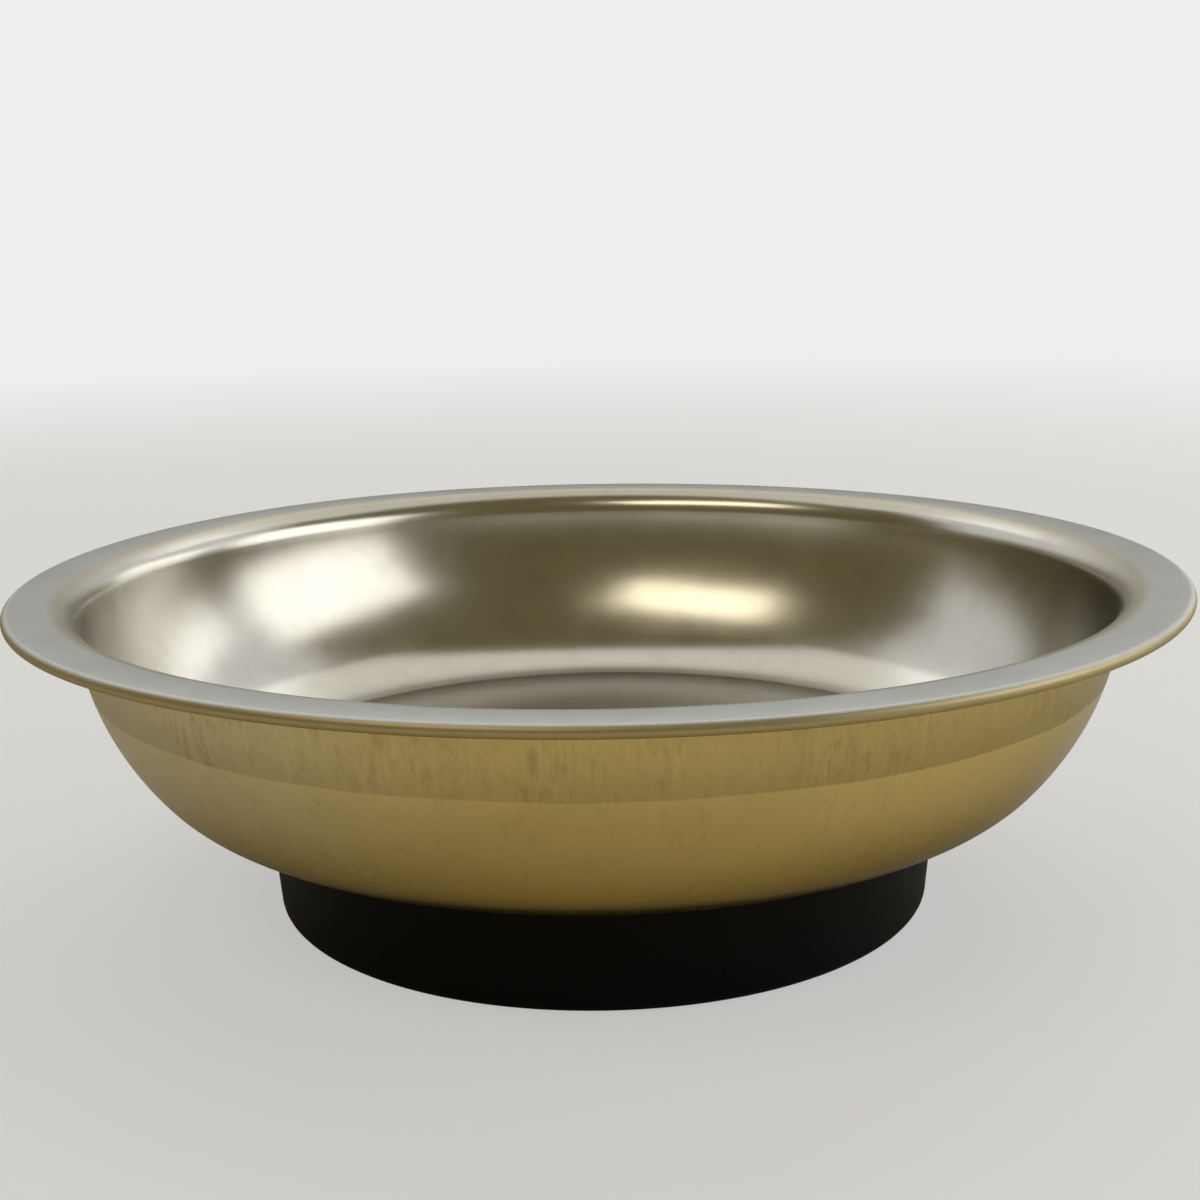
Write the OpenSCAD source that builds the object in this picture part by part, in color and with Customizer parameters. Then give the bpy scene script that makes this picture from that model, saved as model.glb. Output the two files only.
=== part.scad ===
// Round magnetic parts tray: a pressed stainless dish standing on a ring magnet in a rubber cover.
// Millimetres. The tray stands on Z = 0 and its axis is Z.

/* [Dish] */
// Diameter over the hemmed rim
rim_d = 150; // [146:0.5:165]
// Height of the rim above the bench
overall_h = 43.2; // [41:0.2:50]
// Thickness of the pressed sheet
sheet_t = 0.6; // [0.4:0.1:1]
// Width of the rim from the end of its bend to the edge
flange_w = 5.3; // [4.6:0.1:7]
// Radius of the bend under the rim
bend_r = 3.2; // [2:0.1:4]
// Lean of the wall from upright where it meets the bend, in degrees
wall_lean = 4.25; // [2:0.25:8]
// Outside radius of the upper wall
wall_upper_r = 33.7; // [31:0.1:42]
// Outside radius of the lower wall
wall_lower_r = 16.6; // [14:0.1:18]
// Outside radius of the bend between the wall and the floor
floor_bend_r = 4; // [2.5:0.1:6]
// Slope of the wall where it meets that bend, in degrees
floor_slope = 20; // [14:0.5:26]
// Gap left inside the folded hem
hem_gap = 0.3; // [0.2:0.1:0.6]
// Length of the leg folded back under the rim
hem_leg = 2; // [1:0.1:3]

/* [Magnet and foam] */
// Outer diameter of the ring magnet
magnet_d = 80; // [70:0.5:84]
// Bore of the ring magnet
magnet_bore = 40; // [30:0.5:46]
// Height of the ring magnet
magnet_h = 10; // [8:0.5:14]
// Bevel on the edges of the ring magnet
magnet_bevel = 0.6; // [0.3:0.1:1.2]
// Thickness of the foam ring
foam_t = 2.4; // [1.4:0.1:3.4]
// Distance of the foam ring's edges inside the magnet's edges
foam_inset = 1.2; // [0.8:0.1:4]

/* [Rubber cover] */
// Thickness of rubber under the magnet
cover_floor_t = 2.8; // [2:0.1:4]
// Thickness of the cover's wall at its top edge
cover_wall_t = 4; // [3.2:0.1:6]
// Draft of the cover's side, in degrees
cover_draft = 5; // [1:0.5:8]
// Radius of the lower edge
foot_edge_r = 1.5; // [0.6:0.1:2]
// Radius of the upper edge
top_edge_r = 0.8; // [0.4:0.1:1.2]
// Clearance between the magnet and the pocket and hub
pocket_clear = 0.4; // [0.2:0.05:0.8]

/* [Fixing] */
// Diameter of the stud
stud_d = 5; // [4:0.5:6]
// Diameter of the stud's welded foot
stud_foot_d = 11; // [9:0.5:16]
// Thickness of the stud's welded foot
stud_foot_t = 1; // [0.6:0.1:1.6]
// Length of stud below the nut
stud_tail = 0.4; // [0.2:0.1:0.6]
// Outer diameter of the spacer sleeve
sleeve_d = 9; // [8:0.5:11]
// Diameter of the flat washer
washer_d = 12; // [11:0.5:18]
// Thickness of the flat washer
washer_t = 1.1; // [0.8:0.1:1.6]
// Diameter of the spring washer
spring_d = 9.2; // [8.5:0.1:11]
// Thickness of the spring washer
spring_t = 1.2; // [0.8:0.1:1.6]
// Width of the split in the spring washer
spring_split = 1; // [0.6:0.1:1.6]
// Width of the nut across its flats
nut_af = 8; // [7:0.5:10]
// Height of the nut
nut_h = 4; // [3:0.1:5]
// Height of the nut's face above the bench
nut_rise = 1; // [0.8:0.1:2]
// Clearance round what stands in the cover's recess
recess_clear = 1; // [0.6:0.1:3]
// Clearance of a bore or seat round what passes through it
fit = 0.2; // [0.1:0.05:0.4]
// Clearance of the nut's thread on the stud
thread_clear = 0.05; // [0.02:0.01:0.1]

/* [Hidden] */
$fn = 128;
// Two tangent arcs lap by this much, so that they cross instead of only touching.
lap = 0.002;
// A cutter reaches this far past the face that it opens.
over = 1;
// Steepest lean from level at which the two arcs of the wall meet, in degrees
steepest_join = 55;

// Rubber, magnet and foam are stacked under the floor of the dish.
magnet_z = cover_floor_t;
foam_z = magnet_z + magnet_h;
base_h = foam_z + foam_t;

// The nut and its washers stand in a recess under the cover, and the sleeve stands on them.
nut_z = nut_rise;
spring_z = nut_z + nut_h;
washer_z = spring_z + spring_t;
recess_h = washer_z + washer_t;
stud_foot_z = base_h - stud_foot_t;
nut_corner_d = nut_af / cos(30);
recess_d = max(washer_d, spring_d, nut_corner_d) + 2 * recess_clear;

// Bend under the rim: its centre is where the flat of the rim begins.
rim_r = rim_d / 2;
bend_x = rim_r - flange_w;
bend_z = overall_h - sheet_t - bend_r;

// The upper wall leaves the bend with the lean, and the lower wall meets the floor's bend with its slope.
// Where the tray is too tall for the two arcs, a straight flank between the bend and the upper wall takes the rest.
floor_bend_z = base_h + floor_bend_r;
lower_z = floor_bend_z + (wall_lower_r - floor_bend_r) * cos(floor_slope);
arcs_h = (wall_upper_r - wall_lower_r) * sin(steepest_join);
flank_l = max(0, (bend_z + (bend_r + wall_upper_r) * sin(wall_lean) - lower_z - arcs_h) / cos(wall_lean));
upper_x = bend_x - (bend_r + wall_upper_r) * cos(wall_lean) - flank_l * sin(wall_lean);
upper_z = bend_z + (bend_r + wall_upper_r) * sin(wall_lean) - flank_l * cos(wall_lean);
join_angle = asin((upper_z - lower_z) / (wall_upper_r - wall_lower_r));
lower_x = upper_x + (wall_upper_r - wall_lower_r) * cos(join_angle);

// The floor is flat as far as the middle of its bend.
floor_r = lower_x + (wall_lower_r - floor_bend_r) * sin(floor_slope);

// Hem at the edge of the rim
hem_r = sheet_t + hem_gap / 2;
hem_x = rim_r - hem_r;
hem_z = overall_h - hem_r;

// Rubber cover
pocket_r = magnet_d / 2 + pocket_clear;
hub_r = magnet_bore / 2 - pocket_clear;
cover_top_r = pocket_r + cover_wall_t;
cover_foot_r = cover_top_r - base_h * tan(cover_draft);

// Node to draw, or all of them

// Half section of what one skin of the dish encloses. The skin lies inset inside the outer one.
module skin_section(inset) {
  upper_r = wall_upper_r - inset;
  lower_r = wall_lower_r - inset;
  turn_r = floor_bend_r - inset;
  join_z = upper_z - upper_r * sin(join_angle);
  lean_x = upper_x + upper_r * cos(wall_lean) - lap / 2;
  lean_z = upper_z - upper_r * sin(wall_lean);
  flank_z = lean_z + flank_l * cos(wall_lean);
  foot_z = floor_bend_z - turn_r * cos(floor_slope);
  floor_z = base_h + inset;
  reach = turn_r / 4;

  // Upper wall
  intersection() {
    translate([upper_x, upper_z]) circle(r = upper_r);
    translate([0, join_z]) square([rim_r, lean_z - join_z + bend_r / 2]);
  }
  // Straight flank over the upper wall
  if (flank_l > 0) {
    flank_reach = flank_l + bend_r / 2;
    top_z = lean_z + flank_reach * cos(wall_lean);
    polygon([[0, lean_z], [lean_x, lean_z], [lean_x + flank_reach * sin(wall_lean), top_z], [0, top_z]]);
  }
  // Lower wall
  intersection() {
    translate([lower_x, lower_z]) circle(r = lower_r + lap);
    translate([lower_x, foot_z]) square([rim_r, join_z - foot_z + reach]);
  }
  // Bend into the floor
  intersection() {
    translate([floor_r, floor_bend_z]) circle(r = turn_r + 2 * lap);
    translate([floor_r - reach, floor_z - over]) square([rim_r, foot_z - floor_z + over + reach]);
  }
  // Space over the flat of the floor
  translate([0, floor_z]) square([floor_r, lean_z - floor_z + bend_r / 2]);
  // Bend into the rim
  difference() {
    translate([0, flank_z]) square([bend_x, overall_h - flank_z + inset]);
    translate([bend_x, bend_z]) circle(r = bend_r + inset + lap);
  }
}

// Half section of the pressed sheet: outer skin and rim, less the inside of the dish
module dish_section() {
  difference() {
    union() {
      intersection() {
        skin_section(0);
        square([rim_r, overall_h - sheet_t / 2]);
      }
      translate([0, overall_h - sheet_t]) square([hem_x, sheet_t]);
    }
    skin_section(sheet_t);
  }
  hem_section();
}

// Half section of the fold at the edge of the rim, with its leg turned back under the rim
module hem_section() {
  intersection() {
    difference() {
      translate([hem_x, hem_z]) circle(r = hem_r);
      translate([hem_x, hem_z]) circle(r = hem_gap / 2);
    }
    translate([hem_x, hem_z - hem_r - over]) square([hem_r + over, 2 * (hem_r + over)]);
  }
  translate([hem_x - hem_leg, hem_z - hem_r]) square([hem_leg, sheet_t]);
}

// Pressed dish with its rim, bend, curved wall and flat floor
module dish() {
  color([0.72, 0.70, 0.66])
    rotate_extrude() dish_section();
}

// Threaded stud, welded by its foot to the underside of the floor
module weld_stud() {
  tip = stud_tail;
  stud_z = nut_z - stud_tail;
  color([0.62, 0.63, 0.65]) {
    translate([0, 0, stud_foot_z]) cylinder(d = stud_foot_d, h = stud_foot_t);
    translate([0, 0, stud_z + tip]) cylinder(d = stud_d, h = stud_foot_z - stud_z - tip);
    translate([0, 0, stud_z]) cylinder(d1 = stud_d - 2 * tip, d2 = stud_d, h = tip);
  }
}

// Soft ring that presses the magnet into its pocket
module foam_ring() {
  color([0.28, 0.28, 0.30])
    translate([0, 0, foam_z])
      difference() {
        cylinder(d = magnet_d - 2 * foam_inset, h = foam_t);
        translate([0, 0, -over]) cylinder(d = magnet_bore + 2 * foam_inset, h = foam_t + 2 * over);
      }
}

// Ferrite ring with bevelled edges
module ring_magnet() {
  inner = magnet_bore / 2;
  outer = magnet_d / 2;
  bevel = magnet_bevel;
  color([0.20, 0.19, 0.20])
    translate([0, 0, magnet_z])
      rotate_extrude()
        polygon([[inner + bevel, 0], [outer - bevel, 0], [outer, bevel], [outer, magnet_h - bevel],
                 [outer - bevel, magnet_h], [inner + bevel, magnet_h],
                 [inner, magnet_h - bevel], [inner, bevel]]);
}

// Half section of the cover's outside: drafted side with rounded lower and upper edges
module cover_outline() {
  slope = tan(cover_draft);
  foot_x = cover_foot_r + foot_edge_r * (slope - 1 / cos(cover_draft));
  top_x = cover_top_r - top_edge_r * (slope + 1 / cos(cover_draft));
  intersection() {
    square([cover_top_r, base_h]);
    union() {
      polygon([[0, 0], [foot_x, 0],
               [foot_x + foot_edge_r * cos(cover_draft), foot_edge_r * (1 - sin(cover_draft))],
               [top_x + top_edge_r * cos(cover_draft), base_h - top_edge_r * (1 + sin(cover_draft))],
               [top_x, base_h], [0, base_h]]);
      translate([foot_x, foot_edge_r]) circle(r = foot_edge_r + lap);
      translate([top_x, base_h - top_edge_r]) circle(r = top_edge_r + lap);
    }
  }
}

// Moulded cover: pocket for the magnet, hub in the magnet's bore, recess for the nut
module rubber_cover() {
  seat_d = stud_foot_d + 2 * fit;
  color([0.07, 0.07, 0.07])
    difference() {
      rotate_extrude() cover_outline();
      difference() {
        translate([0, 0, magnet_z]) cylinder(r = pocket_r, h = base_h);
        cylinder(r = hub_r, h = base_h + 2 * over);
      }
      translate([0, 0, -over]) cylinder(d = recess_d, h = recess_h + over);
      translate([0, 0, recess_h - over]) cylinder(d = sleeve_d + 2 * fit, h = base_h);
      translate([0, 0, stud_foot_z - fit]) cylinder(d = seat_d, h = base_h);
    }
}

// Tube round the stud, from the flat washer to the stud's foot
module spacer_sleeve() {
  color([0.66, 0.62, 0.50])
    translate([0, 0, recess_h])
      ring(sleeve_d, stud_foot_z - recess_h);
}

// Plain washer on the roof of the recess
module flat_washer() {
  color([0.70, 0.71, 0.73])
    translate([0, 0, washer_z])
      ring(washer_d, washer_t);
}

// Split washer, pressed flat under the nut
module spring_washer() {
  color([0.45, 0.46, 0.48])
    translate([0, 0, spring_z])
      difference() {
        ring(spring_d, spring_t);
        translate([0, -spring_split / 2, -over]) cube([spring_d, spring_split, spring_t + 2 * over]);
      }
}

// Hexagon nut with its corners turned off at both faces
module hex_nut() {
  turn = (nut_corner_d - nut_af) / 2;
  lead = turn * tan(30);
  color([0.74, 0.75, 0.77])
    translate([0, 0, nut_z])
      difference() {
        intersection() {
          cylinder(d = nut_corner_d, h = nut_h, $fn = 6);
          rotate_extrude()
            polygon([[0, 0], [nut_af / 2, 0], [nut_corner_d / 2 + turn, 2 * lead],
                     [nut_corner_d / 2 + turn, nut_h - 2 * lead], [nut_af / 2, nut_h], [0, nut_h]]);
        }
        translate([0, 0, -over]) cylinder(d = stud_d + 2 * thread_clear, h = nut_h + 2 * over);
      }
}

// Flat ring that clears the stud
module ring(outer_d, height) {
  difference() {
    cylinder(d = outer_d, h = height);
    translate([0, 0, -over]) cylinder(d = stud_d + 2 * fit, h = height + 2 * over);
  }
}

dish();
weld_stud();
foam_ring();
ring_magnet();
rubber_cover();
spacer_sleeve();
flat_washer();
spring_washer();
hex_nut();
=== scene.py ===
"""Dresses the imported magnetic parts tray: a pressed steel dish on a rubber-covered ring magnet.

Lengths are metres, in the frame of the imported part: the tray stands on Z = 0 with its axis on Z,
and the camera looks along +Y.
"""
import logging
import math
from dataclasses import dataclass, field
from enum import Enum
from typing import Any, ClassVar, Iterable, Union

import bpy
from mathutils import Matrix, Vector


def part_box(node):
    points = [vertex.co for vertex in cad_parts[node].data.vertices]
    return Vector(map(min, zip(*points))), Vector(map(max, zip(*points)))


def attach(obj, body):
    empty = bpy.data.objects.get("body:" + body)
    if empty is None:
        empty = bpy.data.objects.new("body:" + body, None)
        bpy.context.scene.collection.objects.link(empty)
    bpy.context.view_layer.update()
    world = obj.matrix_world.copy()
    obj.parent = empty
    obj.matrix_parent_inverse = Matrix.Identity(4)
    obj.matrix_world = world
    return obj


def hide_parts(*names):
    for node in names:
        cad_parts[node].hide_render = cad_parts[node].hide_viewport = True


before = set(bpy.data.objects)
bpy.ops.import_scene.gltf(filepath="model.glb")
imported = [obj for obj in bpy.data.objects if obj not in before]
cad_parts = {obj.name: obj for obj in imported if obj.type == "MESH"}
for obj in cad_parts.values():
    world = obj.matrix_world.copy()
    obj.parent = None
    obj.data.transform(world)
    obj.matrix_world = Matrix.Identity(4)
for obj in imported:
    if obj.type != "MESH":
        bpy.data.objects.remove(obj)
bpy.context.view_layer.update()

log = logging.getLogger("parts_tray")

Colour = tuple[float, float, float]
Spot = tuple[float, float]
Place = tuple[float, float, float]

MM = 0.001
ROOT_BODY = "root"
NOISE_MEAN = 0.5
ROOM_TONE: Colour = (0.140, 0.117, 0.052)


class Skin(Enum):
    """Side of the pressed sheet that a point of its section lies on, as the steel reads it."""

    INSIDE = 0.0
    HEM = 0.75
    OUTSIDE = 1.0


class Slot(Enum):
    """Names of material slots of the record."""

    STAINLESS = "stainless"
    RUBBER = "rubber"
    FOAM = "foam"


class Wire:
    """A node's output socket that takes part in Python expressions."""

    def __init__(self, graph: "Graph", socket: bpy.types.NodeSocket) -> None:
        """Wraps one output socket.

        Args:
            graph: Graph that the socket belongs to.
            socket: Output socket to wrap.
        """
        self.graph = graph
        self.socket = socket

    def math(self, operation: str, *others: "Value") -> "Wire":
        """Adds a Math node whose first value is this wire.

        Args:
            operation: Name of the Math node's operation.
            *others: Its further values, as wires or numbers.

        Returns:
            The node's result.
        """
        return self.graph.math(operation, self, *others)

    def __add__(self, other: "Value") -> "Wire":
        """Sum of two values."""
        return self.math("ADD", other)

    def __radd__(self, other: "Value") -> "Wire":
        """Sum with a number on the left."""
        return self.math("ADD", other)

    def __sub__(self, other: "Value") -> "Wire":
        """Difference of two values."""
        return self.math("SUBTRACT", other)

    def __rsub__(self, other: "Value") -> "Wire":
        """Difference with a number on the left."""
        return self.graph.math("SUBTRACT", other, self)

    def __mul__(self, other: "Value") -> "Wire":
        """Product of two values."""
        return self.math("MULTIPLY", other)

    def __truediv__(self, other: "Value") -> "Wire":
        """Quotient of two values."""
        return self.math("DIVIDE", other)

    def __mod__(self, other: "Value") -> "Wire":
        """Remainder of a division."""
        return self.math("MODULO", other)


Value = Union[Wire, float, int]


class Graph:
    """A node tree that is written in Python."""

    def __init__(self, tree: bpy.types.NodeTree) -> None:
        """Empties a node tree and holds it.

        Args:
            tree: Shader or geometry node tree to write.
        """
        self.tree = tree
        tree.nodes.clear()

    def add(self, kind: str, settings: dict[str, Any] | None = None,
            inputs: dict[str | int, Any] | None = None) -> bpy.types.Node:
        """Adds any node.

        Args:
            kind: The node's type.
            settings: Its properties, which are set before its sockets.
            inputs: Values or wires for its input sockets, by name, identifier or place.

        Returns:
            The new node.
        """
        node = self.tree.nodes.new(kind)
        for name, value in (settings or {}).items():
            setattr(node, name, value)
        for name, value in (inputs or {}).items():
            socket = self._input(node, name)
            if isinstance(value, Wire):
                self.tree.links.new(value.socket, socket)
            else:
                socket.default_value = value
        return node

    @staticmethod
    def _input(node: bpy.types.Node, name: str | int) -> bpy.types.NodeSocket:
        """Finds an input socket by place, identifier or name."""
        if isinstance(name, int):
            return node.inputs[name]
        return next((s for s in node.inputs if s.identifier == name), None) or node.inputs[name]

    def out(self, node: bpy.types.Node, name: str | int = 0) -> Wire:
        """Wraps one of a node's outputs."""
        return Wire(self, node.outputs[name])

    def math(self, operation: str, *values: Value) -> Wire:
        """Adds a Math node.

        Args:
            operation: Name of its operation.
            *values: Its values, as wires or numbers.

        Returns:
            The node's result.
        """
        node = self.add("ShaderNodeMath", {"operation": operation}, dict(enumerate(values)))
        return self.out(node)

    def ramp(self, value: Wire, low: float, high: float, start: float = 0.0,
             end: float = 1.0) -> Wire:
        """Maps a value smoothly from one range to another.

        Args:
            value: What to map.
            low: Value that gives start.
            high: Value that gives end.
            start: Result at and below low.
            end: Result at and above high.

        Returns:
            The mapped value.
        """
        node = self.add("ShaderNodeMapRange", {"interpolation_type": "SMOOTHSTEP"},
                        {"Value": value, "From Min": low, "From Max": high,
                         "To Min": start, "To Max": end})
        return self.out(node, "Result")

    def vector(self, x: Value, y: Value, z: Value) -> Wire:
        """Joins three values into a vector."""
        return self.out(self.add("ShaderNodeCombineXYZ", None, {"X": x, "Y": y, "Z": z}))

    def split(self, vector: Wire) -> tuple[Wire, Wire, Wire]:
        """Splits a vector into its three values."""
        node = self.add("ShaderNodeSeparateXYZ", None, {"Vector": vector})
        return self.out(node, "X"), self.out(node, "Y"), self.out(node, "Z")

    def noise(self, at: Wire, scale: float, detail: float = 3.0, roughness: float = 0.55) -> Wire:
        """Adds a noise pattern.

        Args:
            at: Where to read it.
            scale: Its cells per unit of length.
            detail: How many finer layers it has.
            roughness: How strong those are.

        Returns:
            The pattern, about 0.5 with a spread of about 0.2.
        """
        node = self.add("ShaderNodeTexNoise", {"noise_dimensions": "3D"},
                        {"Vector": at, "Scale": scale, "Detail": detail, "Roughness": roughness})
        return self.out(node, "Fac")

    def specks(self, at: Wire, scale: float, share: float, radius: float) -> Wire:
        """Scatters soft round specks.

        Args:
            at: Where to read the pattern.
            scale: Cells per unit of length.
            share: Share of the cells that hold a speck.
            radius: Radius of a speck in cells.

        Returns:
            A mask that is 1 in the middle of a speck and 0 away from them.
        """
        cells = self.add("ShaderNodeTexVoronoi", {"voronoi_dimensions": "3D", "feature": "F1"},
                         {"Vector": at, "Scale": scale})
        chance, _, _ = self.split(self.out(cells, "Color"))
        kept = chance.math("LESS_THAN", share)
        return self.ramp(self.out(cells, "Distance"), radius * 0.4, radius, 1.0, 0.0) * kept

    def mix(self, share: Value, a: Any, b: Any, blend: str = "MIX") -> Wire:
        """Mixes two colours.

        Args:
            share: Share of the second colour.
            a: First colour, as a wire or three numbers.
            b: Second colour, as a wire or three numbers.
            blend: Name of the blend.

        Returns:
            The mixed colour.
        """
        node = self.add("ShaderNodeMix", {"data_type": "RGBA", "blend_type": blend},
                        {"Factor_Float": share, "A_Color": self._colour(a),
                         "B_Color": self._colour(b)})
        return self.out(node, 2)

    @staticmethod
    def _colour(colour: Any) -> Any:
        """Gives a plain colour its alpha, and passes a wire on."""
        return colour if isinstance(colour, Wire) else (*colour, 1.0)

    def shade(self, colour: Any, amount: Wire) -> Wire:
        """Multiplies a colour by a value."""
        grey = self.add("ShaderNodeCombineColor", None,
                        {"Red": amount, "Green": amount, "Blue": amount})
        return self.mix(1.0, colour, self.out(grey), "MULTIPLY")


class Surface(Graph):
    """The node tree of one material, with the part's own place on hand."""

    def __init__(self, name: str) -> None:
        """Makes a material with an empty tree.

        Args:
            name: The material's name.
        """
        self.material = bpy.data.materials.new(name)
        self.material.use_nodes = True
        super().__init__(self.material.node_tree)
        self.place = self.out(self.add("ShaderNodeTexCoord"), "Object")
        self.x, self.y, self.z = self.split(self.place)
        self.radius = (self.x * self.x + self.y * self.y).math("SQRT")

    def drawn(self, across: float, along: float, detail: float, roughness: float = 0.55) -> Wire:
        """Adds a noise pattern that is drawn out as the sheet was.

        Args:
            across: Its cells per radian round the axis.
            along: Its cells per metre of height.
            detail: How many finer layers it has.
            roughness: How strong those are.

        Returns:
            The pattern, about 0.5.
        """
        round_x, round_y = self.x / self.radius, self.y / self.radius
        at = self.vector(round_x * across, round_y * across, self.z * along)
        return self.noise(at, 1.0, detail, roughness)

    def bump(self, height: Wire, distance: float, strength: float) -> Wire:
        """Turns a height into a surface normal.

        Args:
            height: Pattern of heights from 0 to 1.
            distance: Height in metres of the value 1.
            strength: Share of the effect.

        Returns:
            The normal.
        """
        return self.out(self.add("ShaderNodeBump", None,
                                 {"Height": height, "Distance": distance, "Strength": strength}))

    def finish(self, **inputs: Any) -> bpy.types.Material:
        """Adds the shader and the output.

        Args:
            **inputs: Values or wires for the shader's sockets, with spaces written as underscores.

        Returns:
            The finished material.
        """
        named = {name.replace("_", " "): value for name, value in inputs.items()}
        shader = self.add("ShaderNodeBsdfPrincipled", None, named)
        self.add("ShaderNodeOutputMaterial", None, {"Surface": self.out(shader)})
        return self.material


@dataclass(frozen=True)
class PressedSteel:
    """Satin stainless sheet: neutral inside with a painted warm reflection on the bend,
    straw-tinted outside as a painted warm reflection that darkens low down as painted shade and
    pales on the left and right as a painted sheen, draw marks under the rim.
    """

    inside: Colour = (0.645, 0.628, 0.570)
    # Painted warm reflection on the bend, darker and warmer than the inside.
    bend_warm_reflection: Colour = (0.51, 0.475, 0.38)
    rim: Colour = (0.595, 0.597, 0.575)
    # Warm hem colour: a painted reflection of a warm surface in front of the tray.
    hem: Colour = (0.515, 0.412, 0.177)
    # Outside colours: a painted warm reflection, with painted shade in the darker low colour.
    outside_warm_reflection: Colour = (0.762, 0.588, 0.238)
    outside_shaded_reflection: Colour = (0.445, 0.305, 0.040)
    # Painted sheen: paler, greyer colour for the left and right of the outside.
    side_sheen: Colour = (0.78, 0.68, 0.455)
    stain: Colour = (0.36, 0.250, 0.092)
    edge: Colour = (0.72, 0.72, 0.72)
    band_z: float = 32.6 * MM
    band_blur: float = 0.15 * MM
    band_wander: float = 1.0 * MM
    fall_height: float = 6.0 * MM
    low_z: float = 14.5 * MM
    mid_z: float = 28.5 * MM
    wall_radius: float = 66.3 * MM
    bend_radius: float = 68.6 * MM
    flat_radius: float = 69.9 * MM
    hem_radius: float = 74.25 * MM
    hem_blur: float = 0.2 * MM
    # Where the painted sheen sets in on the left and right, as x over radius.
    left_fade: Spot = (-0.75, -0.10)
    right_fade: Spot = (0.72, 0.95)
    soil_fade: Spot = (0.0, 0.6)
    side_sheen_share: float = 0.72
    roughness: float = 0.235
    relief: float = 0.02 * MM

    def material(self) -> bpy.types.Material:
        """Builds the material.

        Returns:
            The finished material.
        """
        s = Surface("pressed_steel")
        skin = s.out(s.add("ShaderNodeAttribute", {"attribute_name": Section.SKIN}), "Fac")
        round_x = s.x / s.radius
        fine = s.drawn(380.0, 130.0, 2.0) - NOISE_MEAN
        broad = s.drawn(90.0, 80.0, 3.0, 0.6) - NOISE_MEAN
        patch = s.ramp(s.drawn(7.0, 30.0, 3.0, 0.6), 0.38, 0.62)
        stains = s.ramp(s.drawn(60.0, 420.0, 5.0, 0.7), 0.46, 0.70)
        streaks = (fine * 0.5 + broad * 0.5) * (0.45 + patch * 0.55)
        clouds = s.noise(s.place, 110.0, 4.0) - NOISE_MEAN
        blots = s.ramp(s.noise(s.place, 170.0, 5.0, 0.68), 0.44, 0.72)
        ripple = s.noise(s.place, 330.0, 2.0)
        grain = s.noise(s.place, 2600.0, 2.0)
        pits = s.specks(s.place, 900.0, 0.035, 0.24)
        nicks = s.specks(s.place, 260.0, 0.05, 0.16)

        edge = s.z + (s.noise(s.place, 60.0, 2.0) - NOISE_MEAN) * self.band_wander
        band = s.ramp(edge, self.band_z - self.band_blur, self.band_z + self.band_blur) * skin
        below = skin - band
        # Painted shade: the outside darkens towards the bottom, as the reflection of the shadow
        # under the tray.
        out_of_shade = s.ramp(s.z, self.low_z, self.mid_z)
        fall = s.ramp(s.z, self.band_z, self.band_z + self.fall_height, 1.0, 0.0)
        # Painted sheen on the left and right of the outside.
        sheen_sides = s.ramp(round_x, *self.left_fade, 1.0, 0.0) + s.ramp(round_x, *self.right_fade)
        soiled = s.ramp(round_x, *self.soil_fade)
        bend = s.ramp(s.radius, self.wall_radius, self.bend_radius) * (1.0 - skin)
        flat = s.ramp(s.radius, self.bend_radius, self.flat_radius) * (1.0 - skin)
        hem = s.ramp(s.radius, self.hem_radius - self.hem_blur, self.hem_radius + self.hem_blur)

        # Outside colour: a painted warm reflection, with painted shade low down and painted sheen
        # on the left and right.
        outside = s.mix(out_of_shade, self.outside_shaded_reflection, self.outside_warm_reflection)
        outside = s.mix(sheen_sides * out_of_shade * self.side_sheen_share, outside, self.side_sheen)
        dimmed = 0.09 + fall * 0.10 + soiled * 0.12
        outside = s.shade(outside, 1.0 - band * dimmed + streaks * band * 0.50)
        stained = stains * (band * (0.12 + patch * 0.42) + below * patch * 0.20)
        outside = s.mix(stained, outside, self.stain)
        outside = s.mix(hem, outside, self.hem)
        outside = s.shade(outside, 1.0 + clouds * 0.16 - pits * below * 0.25 + nicks * hem * 0.6)
        # The bend takes a painted warm reflection.
        inside = s.mix(flat, s.mix(bend, self.inside, self.bend_warm_reflection), self.rim)
        inside = s.shade(inside, 1.0 + clouds * 0.11 - blots * 0.06 - pits * 0.10)

        rough = (self.roughness + clouds * 0.08 + bend * 0.12 - flat * 0.05 + below * 0.03
                 + band * (0.10 + streaks * 0.25) + hem * 0.18)
        height = grain * 0.04 + ripple * (1.0 - skin) * 0.5 + streaks * band * 0.65 - pits * 0.1
        return s.finish(Base_Color=s.mix(skin, inside, outside), Metallic=1.0, Roughness=rough,
                        Specular_Tint=(*self.edge, 1.0), Normal=s.bump(height, self.relief, 0.5))


@dataclass(frozen=True)
class MouldedRubber:
    """Black moulded rubber with a fine matt skin, greyer on its rubbed lower edge."""

    body: Colour = (0.0048, 0.0048, 0.0050)
    rubbed: Colour = (0.020, 0.0195, 0.019)
    edge_z: float = 1.6 * MM
    sheen: float = 0.11
    relief: float = 0.03 * MM

    def material(self) -> bpy.types.Material:
        """Builds the material.

        Returns:
            The finished material.
        """
        s = Surface("moulded_rubber")
        clouds = s.noise(s.place, 90.0, 4.0)
        grain = s.noise(s.place, 1900.0, 3.0, 0.6)
        worn = s.ramp(s.z, 0.0, self.edge_z, 1.0, 0.0) * s.ramp(clouds, 0.35, 0.7)
        colour = s.shade(s.mix(worn * 0.6, self.body, self.rubbed), 0.75 + clouds * 0.5)
        rough = 0.52 + (clouds - NOISE_MEAN) * 0.2 + worn * 0.15
        return s.finish(Base_Color=colour, Roughness=rough, Specular_IOR_Level=self.sheen,
                        Normal=s.bump(grain, self.relief, 0.6))


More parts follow.
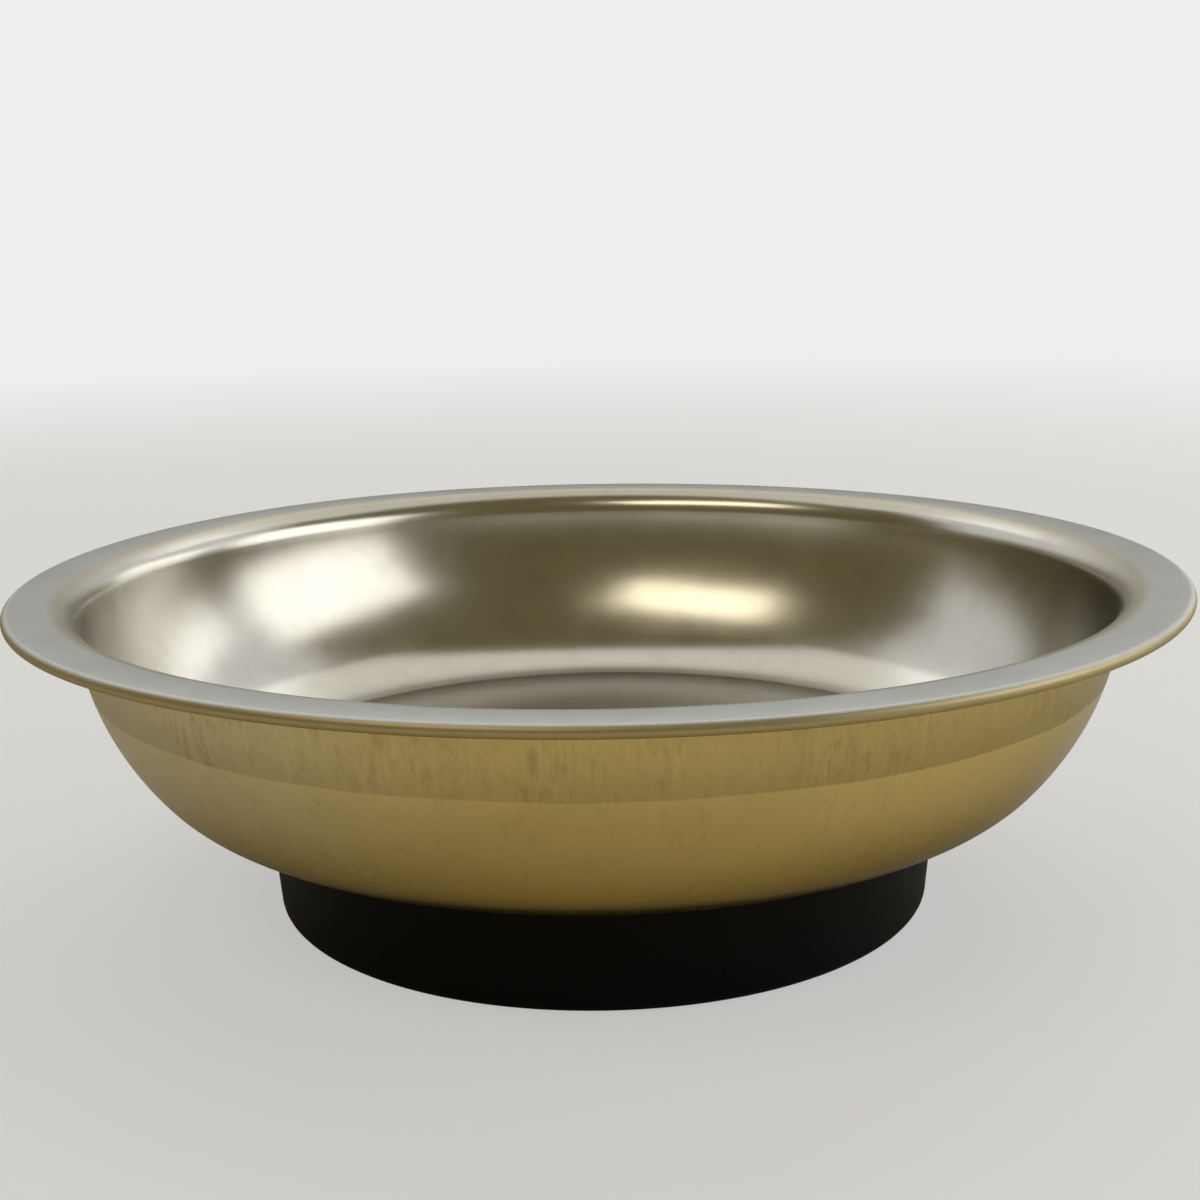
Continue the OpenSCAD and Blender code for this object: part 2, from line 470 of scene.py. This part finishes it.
@dataclass(frozen=True)
class PlatedSteel:
    """Turned or stamped steel under a thin coat: zinc, or a dark oxide on sprung steel."""

    name: str
    clear: Colour
    dull: Colour
    roughness: float
    lines_per_metre: float = 9000.0
    relief: float = 0.008 * MM

    def material(self) -> bpy.types.Material:
        """Builds the material.

        Returns:
            The finished material.
        """
        s = Surface(self.name)
        clouds = s.noise(s.place, 420.0, 4.0)
        lines = self.lines_per_metre
        turned = s.noise(s.vector(s.radius * lines, s.z * lines, 0.0), 1.0, 2.0)
        coat = s.mix(s.ramp(clouds, 0.35, 0.7), self.clear, self.dull)
        colour = s.shade(coat, 0.92 + turned * 0.16)
        rough = self.roughness + (clouds - NOISE_MEAN) * 0.2
        return s.finish(Base_Color=colour, Metallic=1.0, Roughness=rough,
                        Normal=s.bump(turned, self.relief, 0.5))


@dataclass(frozen=True)
class SinteredFerrite:
    """Dark grey pressed ferrite with a gritty skin."""

    body: Colour = (0.055, 0.055, 0.060)
    dust: Colour = (0.13, 0.128, 0.125)
    relief: float = 0.05 * MM

    def material(self) -> bpy.types.Material:
        """Builds the material.

        Returns:
            The finished material.
        """
        s = Surface("sintered_ferrite")
        grit = s.noise(s.place, 1600.0, 4.0, 0.65)
        clouds = s.noise(s.place, 70.0, 3.0)
        colour = s.mix(s.ramp(grit * 0.6 + clouds * 0.4, 0.45, 0.7), self.body, self.dust)
        return s.finish(Base_Color=colour, Roughness=0.62 + (grit - NOISE_MEAN) * 0.3,
                        Normal=s.bump(grit, self.relief, 0.6))


@dataclass(frozen=True)
class CellFoam:
    """Dark foam of closed cells, with painted shade in its pores."""

    body: Colour = (0.045, 0.045, 0.048)
    # Darker pores: painted shade in the hollows of the cells.
    pore_shade: Colour = (0.018, 0.018, 0.019)
    relief: float = 0.08 * MM

    def material(self) -> bpy.types.Material:
        """Builds the material.

        Returns:
            The finished material.
        """
        s = Surface("cell_foam")
        cells = s.specks(s.place, 1500.0, 0.75, 0.55)
        clouds = s.noise(s.place, 120.0, 3.0)
        colour = s.shade(s.mix(cells, self.body, self.pore_shade), 0.8 + clouds * 0.4)
        return s.finish(Base_Color=colour, Roughness=0.88 - clouds * 0.1,
                        Normal=s.bump(1.0 - cells, self.relief, 0.7))


@dataclass(frozen=True)
class StudioPaper:
    """Pale matt paper: an even tone to the camera, and a dimmer one to the metal.

    What the metal sees brightens with height behind the tray, and falls to the dim room before it.
    """

    tone: Colour = (0.86, 0.86, 0.855)
    wall: Colour = (0.86, 0.86, 0.86)
    mirrored_low: Colour = (0.23, 0.205, 0.135)
    mirrored_high: Colour = (0.77, 0.77, 0.755)
    low_z: float = 0.15
    high_z: float = 0.46
    back_start: float = 0.10
    back_end: float = 0.24
    floor_share: float = 0.55
    near: float = 0.30
    far: float = 0.95

    def material(self) -> bpy.types.Material:
        """Builds the material.

        Returns:
            The finished material.
        """
        s = Surface("studio_paper")
        fibres = s.noise(s.place, 700.0, 3.0)
        paper = s.add("ShaderNodeBsdfPrincipled", None,
                      {"Base Color": s.shade(self.tone, 0.985 + fibres * 0.03), "Roughness": 0.9})
        rays = s.add("ShaderNodeLightPath")
        eye = s.out(rays, "Is Camera Ray")
        mirror = s.out(rays, "Is Glossy Ray") + s.out(rays, "Is Transmission Ray")
        metal = mirror.math("MINIMUM", 1.0)
        rise = s.ramp(s.radius, self.near, self.far)
        share = eye * (self.floor_share + rise * (1.0 - self.floor_share)) + metal * rise
        behind = s.mix(s.ramp(s.z, self.low_z, self.high_z), self.mirrored_low, self.mirrored_high)
        ahead = s.mix(s.ramp(s.z, 0.0, self.low_z), self.mirrored_low, ROOM_TONE)
        mirrored = s.mix(s.ramp(s.y / s.radius, self.back_start, self.back_end), ahead, behind)
        glow = s.add("ShaderNodeEmission", None,
                     {"Color": s.mix(eye, mirrored, self.wall), "Strength": 1.0})
        both = s.add("ShaderNodeMixShader", None,
                     {0: share.math("MINIMUM", 1.0), 1: s.out(paper), 2: s.out(glow)})
        s.add("ShaderNodeOutputMaterial", None, {"Surface": s.out(both)})
        return s.material


class Section:
    """Half section of a turned piece: radii and heights, walked with the piece on the left."""

    SKIN = "skin"
    LONGEST_STEP = 3.0 * MM
    SHORTEST_STEP = 1e-7

    def __init__(self) -> None:
        """Starts an empty section."""
        self.points: list[Spot] = []
        self.skins: list[float] = []

    def walk(self, spots: Iterable[Spot], skin: Skin = Skin.OUTSIDE) -> None:
        """Adds points in order, with long stretches cut into steps.

        Args:
            spots: Points of radius and height.
            skin: Side of the sheet that they lie on.
        """
        for spot in spots:
            if self.points:
                (r, z), length = self.points[-1], math.dist(self.points[-1], spot)
                if length < self.SHORTEST_STEP:
                    continue
                pieces = max(1, math.ceil(length / self.LONGEST_STEP))
                for i in range(1, pieces):
                    share = i / pieces
                    self._put((r + (spot[0] - r) * share, z + (spot[1] - z) * share), skin)
            self._put(spot, skin)

    def _put(self, spot: Spot, skin: Skin) -> None:
        """Adds one point."""
        self.points.append(spot)
        self.skins.append(skin.value)

    def close(self) -> None:
        """Walks back to the first point, so that the section is a ring."""
        self.walk([self.points[0]])

    @staticmethod
    def arc(centre: Spot, radius: float, start: float, end: float, steps: int) -> list[Spot]:
        """Gives the points of an arc.

        Args:
            centre: Its centre.
            radius: Its radius.
            start: Angle of its first point from the radial direction, in degrees.
            end: Angle of its last point, in degrees.
            steps: How many chords it has.

        Returns:
            Its points, ends included.
        """
        turns = [math.radians(start + (end - start) * i / steps) for i in range(steps + 1)]
        return [(centre[0] + radius * math.cos(a), centre[1] + radius * math.sin(a)) for a in turns]

    @classmethod
    def corner(cls, before: Spot, at: Spot, after: Spot, radius: float, steps: int) -> list[Spot]:
        """Rounds one corner of a path.

        Args:
            before: A point on the way in.
            at: The corner.
            after: A point on the way out.
            radius: Radius of the rounding.
            steps: How many chords it has.

        Returns:
            The points of the rounding, in order.
        """
        here, back, on = Vector(at), Vector(before), Vector(after)
        inward, outward = (back - here).normalized(), (on - here).normalized()
        half = inward.angle(outward) / 2
        centre = here + (inward + outward).normalized() * (radius / math.sin(half))
        first = here + inward * (radius / math.tan(half)) - centre
        last = here + outward * (radius / math.tan(half)) - centre
        turn = math.atan2(first.x * last.y - first.y * last.x, first.dot(last))
        start = math.degrees(math.atan2(first.y, first.x))
        return cls.arc(tuple(centre), radius, start, start + math.degrees(turn), steps)

    def mesh(self, name: str) -> bpy.types.Mesh:
        """Makes a line of edges of the section.

        Args:
            name: The mesh's name.

        Returns:
            The mesh, with the side of the sheet on its points.
        """
        mesh = bpy.data.meshes.new(name)
        spots = [(r, 0.0, z) for r, z in self.points]
        mesh.from_pydata(spots, [(i, i + 1) for i in range(len(spots) - 1)], [])
        mesh.attributes.new(self.SKIN, "FLOAT", "POINT").data.foreach_set("value", self.skins)
        return mesh


@dataclass
class Turning:
    """Geometry Nodes tree that turns a section about Z, with an optional wave of its outer edge."""

    WAVES: ClassVar[float] = 3.0
    WAVE_PHASE: ClassVar[float] = 0.9
    WELD: ClassVar[float] = 0.002 * MM

    tree: bpy.types.NodeTree = field(init=False)
    sockets: dict[str, str] = field(init=False, default_factory=dict)

    def __post_init__(self) -> None:
        """Builds the tree."""
        self.tree = bpy.data.node_groups.new("turned_piece", "GeometryNodeTree")
        graph = Graph(self.tree)
        for name, kind in (("Section", "NodeSocketGeometry"), ("Steps", "NodeSocketInt"),
                           ("Wave Height", "NodeSocketFloat"), ("Wave Count", "NodeSocketFloat"),
                           ("Wave Start", "NodeSocketFloat"), ("Wave End", "NodeSocketFloat"),
                           ("Material", "NodeSocketMaterial")):
            socket = self.tree.interface.new_socket(name, in_out="INPUT", socket_type=kind)
            self.sockets[name] = socket.identifier
        self.tree.interface.new_socket("Piece", in_out="OUTPUT", socket_type="NodeSocketGeometry")
        given = graph.add("NodeGroupInput")
        section, steps = graph.out(given, "Section"), graph.out(given, "Steps")

        size = graph.add("GeometryNodeAttributeDomainSize", {"component": "MESH"},
                         {"Geometry": section})
        rows = graph.out(size, "Point Count")
        grid = graph.add("GeometryNodeMeshGrid", None,
                         {"Vertices X": steps + 1, "Vertices Y": rows})
        index = graph.out(graph.add("GeometryNodeInputIndex"))
        row = index % rows
        angle = ((index / rows).math("FLOOR") / steps) * math.tau

        place = graph.out(graph.add("GeometryNodeInputPosition"))
        spot = graph.add("GeometryNodeSampleIndex",
                         {"data_type": "FLOAT_VECTOR", "domain": "POINT"},
                         {"Geometry": section, "Value": place, "Index": row})
        radius, _, height = graph.split(graph.out(spot))
        skin = graph.add("GeometryNodeInputNamedAttribute", {"data_type": "FLOAT"},
                         {"Name": Section.SKIN})
        side = graph.add("GeometryNodeSampleIndex", {"data_type": "FLOAT", "domain": "POINT"},
                         {"Geometry": section, "Value": graph.out(skin), "Index": row})

        reach = graph.out(graph.add("ShaderNodeMapRange", {"interpolation_type": "SMOOTHSTEP"},
                                    {"Value": radius, "From Min": graph.out(given, "Wave Start"),
                                     "From Max": graph.out(given, "Wave End")}), "Result")
        swing = (angle * graph.out(given, "Wave Count") + self.WAVE_PHASE).math("SINE")
        lift = swing * graph.out(given, "Wave Height") * reach
        turned = graph.vector(radius * angle.math("COSINE"), radius * angle.math("SINE"),
                              height + lift)
        shaped = graph.add("GeometryNodeSetPosition", None,
                           {"Geometry": graph.out(grid, "Mesh"), "Position": turned})
        sided = graph.add("GeometryNodeStoreNamedAttribute",
                          {"data_type": "FLOAT", "domain": "POINT"},
                          {"Geometry": graph.out(shaped), "Name": Section.SKIN,
                           "Value": graph.out(side)})
        closed = graph.add("GeometryNodeMergeByDistance", {"mode": "ALL"},
                           {"Geometry": graph.out(sided), "Distance": self.WELD})
        smooth = graph.add("GeometryNodeSetShadeSmooth", None,
                           {"Geometry": graph.out(closed), "Shade Smooth": True})
        whole = graph.add("GeometryNodeRealizeInstances", None, {"Geometry": graph.out(smooth)})
        dressed = graph.add("GeometryNodeSetMaterial", None,
                            {"Geometry": graph.out(whole),
                             "Material": graph.out(given, "Material")})
        graph.add("NodeGroupOutput", None, {"Piece": graph.out(dressed)})

    def turn(self, name: str, section: Section, material: bpy.types.Material, steps: int,
             wave_height: float = 0.0, wave_start: float = 0.0,
             wave_end: float = 1.0) -> bpy.types.Object:
        """Turns a section into a closed mesh.

        Args:
            name: Name of the new piece.
            section: Half section to turn.
            material: Finish of the piece.
            steps: Facets round the axis.
            wave_height: Height of the outer edge's wave.
            wave_start: Radius where the wave begins.
            wave_end: Radius where it is full.

        Returns:
            The piece, as a plain mesh with no modifier.
        """
        piece = bpy.data.objects.new(name, section.mesh(name + "_section"))
        bpy.context.scene.collection.objects.link(piece)
        turner = piece.modifiers.new("turning", "NODES")
        turner.node_group = self.tree
        values = {"Steps": steps, "Wave Height": wave_height, "Wave Count": self.WAVES,
                  "Wave Start": wave_start, "Wave End": wave_end, "Material": material}
        for socket, value in values.items():
            turner[self.sockets[socket]] = value
        depsgraph = bpy.context.evaluated_depsgraph_get()
        mesh = bpy.data.meshes.new_from_object(piece.evaluated_get(depsgraph), depsgraph=depsgraph,
                                               preserve_all_data_layers=True)
        piece.modifiers.remove(turner)
        piece.data = mesh
        mesh.name = name
        return piece


@dataclass
class Dish:
    """The pressed dish: hemmed rim, bend, curved wall and flat floor."""

    rim_radius: float
    top: float
    underside: float
    sheet: float = 0.6 * MM
    flange: float = 5.3 * MM
    bend: float = 3.2 * MM
    lean: float = 4.25
    upper: float = 33.7 * MM
    lower: float = 16.6 * MM
    floor_bend: float = 4.0 * MM
    floor_slope: float = 20.0
    hem_gap: float = 0.3 * MM
    hem_leg: float = 2.0 * MM
    leg_round: float = 0.2 * MM
    rim_wave: float = 0.12 * MM
    facets: int = 288

    def __post_init__(self) -> None:
        """Works out the centres of the wall's arcs."""
        lean = math.radians(self.lean)
        self.bend_at = (self.rim_radius - self.flange, self.top - self.sheet - self.bend)
        reach = self.bend + self.upper
        self.upper_at = (self.bend_at[0] - reach * math.cos(lean),
                         self.bend_at[1] + reach * math.sin(lean))
        slope = math.radians(self.floor_slope)
        spare = self.lower - self.floor_bend
        lower_z = self.underside + self.floor_bend + spare * math.cos(slope)
        join = math.asin((self.upper_at[1] - lower_z) / (self.upper - self.lower))
        self.join = math.degrees(join)
        self.lower_at = (self.upper_at[0] + (self.upper - self.lower) * math.cos(join), lower_z)
        self.floor_at = (self.lower_at[0] + spare * math.sin(slope),
                         self.underside + self.floor_bend)

    def floor_path(self, inset: float) -> list[Spot]:
        """Gives one skin of the floor, its bend and the lower wall, from the axis outwards.

        Args:
            inset: Depth of the skin inside the outer one.

        Returns:
            The points, up to the upper wall.
        """
        slope = self.floor_slope - 90.0
        return [(0.0, self.underside + inset),
                *Section.arc(self.floor_at, self.floor_bend - inset, -90.0, slope, 10),
                *Section.arc(self.lower_at, self.lower - inset, slope, -self.join, 28)[1:]]

    def wall_path(self, inset: float) -> list[Spot]:
        """Gives one skin of the upper wall and the bend, from the lower wall to the rim.

        Args:
            inset: Depth of the skin inside the outer one.

        Returns:
            The points, up to the flat of the rim.
        """
        return [*Section.arc(self.upper_at, self.upper - inset, -self.join, -self.lean, 24),
                *Section.arc(self.bend_at, self.bend + inset, 180.0 - self.lean, 90.0, 14)[1:]]

    def section(self) -> Section:
        """Walks the section of the sheet, from the underside's middle to the inside's.

        Returns:
            The half section.
        """
        hem = self.sheet + self.hem_gap / 2
        hem_at = (self.rim_radius - hem, self.top - hem)
        leg_end = hem_at[0] - self.hem_leg
        leg_low, leg_high = self.top - 2 * hem, self.top - 2 * hem + self.sheet
        leg = [(hem_at[0], leg_high), (leg_end, leg_high), (leg_end, leg_low), (hem_at[0], leg_low)]
        path = Section()
        path.walk(self.floor_path(0.0))
        path.walk(self.wall_path(0.0))
        path.walk(Section.arc(hem_at, self.hem_gap / 2, 90.0, -90.0, 6))
        for before, at, after in (leg[:3], leg[1:]):
            path.walk(Section.corner(before, at, after, self.leg_round, 4))
        path.walk(Section.arc(hem_at, hem, -90.0, -20.0, 7))
        path.walk(Section.arc(hem_at, hem, -10.0, 40.0, 5), Skin.HEM)
        path.walk(Section.arc(hem_at, hem, 50.0, 90.0, 4), Skin.INSIDE)
        path.walk(reversed(self.wall_path(self.sheet)), Skin.INSIDE)
        path.walk(reversed(self.floor_path(self.sheet)), Skin.INSIDE)
        return path

    def build(self, turning: Turning) -> bpy.types.Object:
        """Turns the dish and puts it in the place of its solid.

        Args:
            turning: Tree that turns a section.

        Returns:
            The piece.
        """
        piece = turning.turn("pressed_dish", self.section(), PressedSteel().material(), self.facets,
                             self.rim_wave, self.bend_at[0] - 4 * self.bend, self.rim_radius)
        settle(piece, "dish", Slot.STAINLESS)
        return piece


@dataclass
class MagnetBase:
    """The base: rubber cover with the foam ring and magnet in its pocket."""

    height: float
    top_radius: float
    pocket_radius: float
    pocket_floor: float
    hub_radius: float
    recess_radius: float
    recess_roof: float
    bore_radius: float
    seat_radius: float
    seat_floor: float
    foot_radius: float
    foot_round: float = 1.5 * MM
    top_round: float = 0.8 * MM
    mouth_round: float = 0.5 * MM
    inner_round: float = 0.25 * MM
    facets: int = 224
    foam_bulge: float = 0.3
    foam_gap: float = 0.4 * MM
    foam_facets: int = 128
    bulge_steps: int = 8

    def cover_section(self) -> Section:
        """Walks the section of the cover, from the recess's mouth round to it again.

        Returns:
            The half section.
        """
        small = self.inner_round
        corners = [
            (self.recess_radius, 0.0, self.mouth_round),
            (self.foot_radius, 0.0, self.foot_round),
            (self.top_radius, self.height, self.top_round),
            (self.pocket_radius, self.height, small),
            (self.pocket_radius, self.pocket_floor, small),
            (self.hub_radius, self.pocket_floor, small),
            (self.hub_radius, self.height, small),
            (self.seat_radius, self.height, small),
            (self.seat_radius, self.seat_floor, small),
            (self.bore_radius, self.seat_floor, small),
            (self.bore_radius, self.recess_roof, small),
            (self.recess_radius, self.recess_roof, small),
        ]
        path = Section()
        for i, (r, z, rounding) in enumerate(corners):
            before, after = corners[i - 1], corners[(i + 1) % len(corners)]
            path.walk(Section.corner(before[:2], (r, z), after[:2], rounding, 6))
        path.close()
        return path

    def build(self, turning: Turning) -> bpy.types.Object:
        """Turns the cover and puts it in the place of its solid.

        Args:
            turning: Tree that turns a section.

        Returns:
            The piece.
        """
        piece = turning.turn("rubber_cover_skin", self.cover_section(), MouldedRubber().material(),
                             self.facets)
        settle(piece, "rubber_cover", Slot.RUBBER)
        return piece

    def build_foam(self, turning: Turning) -> bpy.types.Object:
        """Turns the foam ring, with its pressed edges bulging, in the place of its solid.

        Args:
            turning: Tree that turns a section.

        Returns:
            The piece.
        """
        low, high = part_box("foam_ring")
        magnet_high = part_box("ring_magnet")[1]
        thick = high[2] - low[2]
        bulge = thick * self.foam_bulge
        outer = high[0] - bulge
        inner = self.hub_radius + (magnet_high[0] - high[0]) + self.foam_gap + bulge
        shares = [i / self.bulge_steps for i in range(1, self.bulge_steps)]
        path = Section()
        path.walk([(inner, low[2]), (outer, low[2])])
        path.walk([(outer + bulge * math.sin(math.pi * t), low[2] + thick * t) for t in shares])
        path.walk([(outer, high[2]), (inner, high[2])])
        path.walk([(inner - bulge * math.sin(math.pi * t), high[2] - thick * t) for t in shares])
        path.close()
        piece = turning.turn("foam_ring_pressed", path, CellFoam().material(), self.foam_facets)
        settle(piece, "foam_ring", Slot.FOAM)
        return piece


@dataclass(frozen=True)
class Hardware:
    """Pieces whose solids keep their shape and only get a finish."""

    zinc: PlatedSteel = PlatedSteel("zinc_plate", (0.60, 0.615, 0.64), (0.42, 0.43, 0.45), 0.34)
    sprung: PlatedSteel = PlatedSteel("oxide_spring", (0.16, 0.16, 0.17), (0.09, 0.085, 0.08), 0.42)

    def dress(self) -> list[str]:
        """Gives each solid its finish.

        Returns:
            Names of the dressed nodes.
        """
        zinc = self.zinc.material()
        finishes = {"weld_stud": zinc, "spacer_sleeve": zinc, "flat_washer": zinc, "hex_nut": zinc,
                    "spring_washer": self.sprung.material(),
                    "ring_magnet": SinteredFerrite().material()}
        for node, material in finishes.items():
            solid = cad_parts[node]
            for slot in solid.material_slots:
                slot.material = material
        return list(finishes)


def settle(piece: bpy.types.Object, node: str, slot: Slot) -> None:
    """Lets a piece ride on the part and stand for one of its solids.

    Args:
        piece: The new piece.
        node: Solid that it stands for.
        slot: The record's slot of its finish; not used.
    """
    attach(piece, ROOT_BODY)
    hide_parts(node)


@dataclass(frozen=True)
class SoftBox:
    """A soft lamp that faces the tray: its name, place, width and height, power and colour."""

    name: str
    at: Place
    size: Spot
    watts: float
    colour: Colour = (1.0, 1.0, 1.0)

    def hang(self, target: Place) -> None:
        """Makes the lamp.

        Args:
            target: Point that it faces.
        """
        light = bpy.data.lights.new(self.name, "AREA")
        light.shape = "RECTANGLE"
        light.size, light.size_y = self.size
        light.energy = self.watts
        light.color = self.colour
        lamp = bpy.data.objects.new(self.name, light)
        lamp.location = self.at
        lamp.rotation_euler = (Vector(target) - Vector(self.at)).to_track_quat("-Z", "Y").to_euler()
        bpy.context.scene.collection.objects.link(lamp)


@dataclass
class Studio:
    """Paper sweep, soft lamps and the camera."""

    lamps: tuple[SoftBox, ...] = (
        SoftBox("back_box", (0.566, 0.566, 0.20), (0.50, 0.30), 0.48),
        SoftBox("side_box", (0.709, -0.125, 0.30), (0.64, 0.48), 1.66),
        SoftBox("top_box", (0.0, 0.50, 0.95), (1.6, 1.0), 3.65),
        SoftBox("front_lamp", (-0.38, -0.56, 0.80), (0.66, 0.30), 1.48, (1.0, 0.90, 0.70)),
    )
    lamp_target: Place = (0.0, 0.0, 0.03)
    camera_at: Place = (0.0, -232.4 * MM, 89.0 * MM)
    pitch: float = 12.2
    yaw: float = 0.05
    roll: float = 1.07
    lens: float = 54.0
    sensor: float = 36.0
    nearest: float = 0.01
    wall_radius: float = 1.4
    cove: float = 0.45
    wall_height: float = 1.5
    wall_turn: float = 76.0
    front_radius: float = 2.4
    front_height: float = 1.1
    cove_steps: int = 24
    columns: int = 48

    def build(self) -> None:
        """Makes everything that isn't part of the tray."""
        self.sweep()
        self.room()
        for lamp in self.lamps:
            lamp.hang(self.lamp_target)
        self.camera()

    def sweep(self) -> None:
        """Makes the paper sweep: a floor that curves up into a wall, nearer behind the tray."""
        fans = ((self.wall_radius, self.wall_height, -self.wall_turn, self.wall_turn),
                (self.front_radius, self.front_height, self.wall_turn, 360.0 - self.wall_turn))
        spots: list[Place] = []
        faces: list[tuple[int, ...]] = []
        for reach, height, start, end in fans:
            centre = (reach - self.cove, self.cove)
            rise = Section.arc(centre, self.cove, -90.0, 0.0, self.cove_steps)
            path = [(0.0, 0.0), *rise, (reach, height)]
            first, rows = len(spots), len(path)
            for i in range(self.columns + 1):
                turn = math.radians(start + (end - start) * i / self.columns)
                spots += [(r * math.sin(turn), r * math.cos(turn), z) for r, z in path]
            for i in range(self.columns):
                for j in range(rows - 1):
                    at = first + i * rows + j
                    faces.append((at, at + rows, at + rows + 1, at + 1)[(j == 0):])
        mesh = bpy.data.meshes.new("paper_sweep")
        mesh.from_pydata(spots, [], faces)
        mesh.shade_smooth()
        mesh.materials.append(StudioPaper().material())
        paper = bpy.data.objects.new("paper_sweep", mesh)
        bpy.context.scene.collection.objects.link(paper)

    @staticmethod
    def room() -> None:
        """Makes the dim, even room round the lamps."""
        world = bpy.data.worlds.new("studio_room")
        world.use_nodes = True
        graph = Graph(world.node_tree)
        light = graph.add("ShaderNodeBackground", None,
                          {"Color": (*ROOM_TONE, 1.0), "Strength": 1.0})
        graph.add("ShaderNodeOutputWorld", None, {"Surface": graph.out(light)})
        bpy.context.scene.world = world

    def camera(self) -> None:
        """Makes the camera at the photograph's viewing angle."""
        pitch, yaw, roll = (math.radians(a) for a in (self.pitch, self.yaw, self.roll))
        ahead = Vector((math.sin(yaw) * math.cos(pitch), math.cos(yaw) * math.cos(pitch),
                        -math.sin(pitch)))
        level = Vector((math.cos(yaw), -math.sin(yaw), 0.0))
        down = ahead.cross(level)
        right = level * math.cos(roll) + down * math.sin(roll)
        up = level * math.sin(roll) - down * math.cos(roll)
        turn = Matrix((right, up, -ahead)).transposed().to_4x4()
        data = bpy.data.cameras.new("photo_camera")
        data.lens = self.lens
        data.sensor_width = self.sensor
        data.clip_start = self.nearest
        camera = bpy.data.objects.new("photo_camera", data)
        camera.matrix_world = Matrix.Translation(self.camera_at) @ turn
        bpy.context.scene.collection.objects.link(camera)
        bpy.context.scene.camera = camera


def measured_base() -> MagnetBase:
    """Reads the base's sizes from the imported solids.

    Returns:
        The base.
    """
    cover_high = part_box("rubber_cover")[1]
    magnet_low, magnet_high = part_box("ring_magnet")
    washer_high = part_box("flat_washer")[1]
    stud_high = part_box("weld_stud")[1]
    sleeve_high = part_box("spacer_sleeve")[1]
    clear, fit, draft = 0.4 * MM, 0.2 * MM, 5.0
    rubber_wall, magnet_bore, nut_room = 4.0 * MM, 20.0 * MM, 1.0 * MM
    top_radius = magnet_high[0] + clear + rubber_wall
    return MagnetBase(
        height=cover_high[2], top_radius=top_radius,
        foot_radius=top_radius - cover_high[2] * math.tan(math.radians(draft)),
        pocket_radius=magnet_high[0] + clear, pocket_floor=magnet_low[2],
        hub_radius=magnet_bore - clear,
        recess_radius=washer_high[0] + nut_room, recess_roof=washer_high[2],
        bore_radius=sleeve_high[0] + fit,
        seat_radius=stud_high[0] + fit, seat_floor=sleeve_high[2] - fit)


def main() -> None:
    """Builds and dresses the tray, then the studio round it."""
    logging.basicConfig(level=logging.INFO, format="%(name)s: %(message)s")
    bpy.context.scene.view_settings.view_transform = "Standard"
    low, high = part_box("dish")
    turning = Turning()
    dish = Dish(rim_radius=high[0], top=high[2], underside=low[2])
    base = measured_base()
    for piece in (dish.build(turning), base.build(turning), base.build_foam(turning)):
        log.info("%s: %d faces", piece.name, len(piece.data.polygons))
    for node in Hardware().dress():
        log.info("%s: solid dressed", node)
    Studio().build()
    log.info("studio: sweep, lamps and camera")


if __name__ == "__main__":
    main()
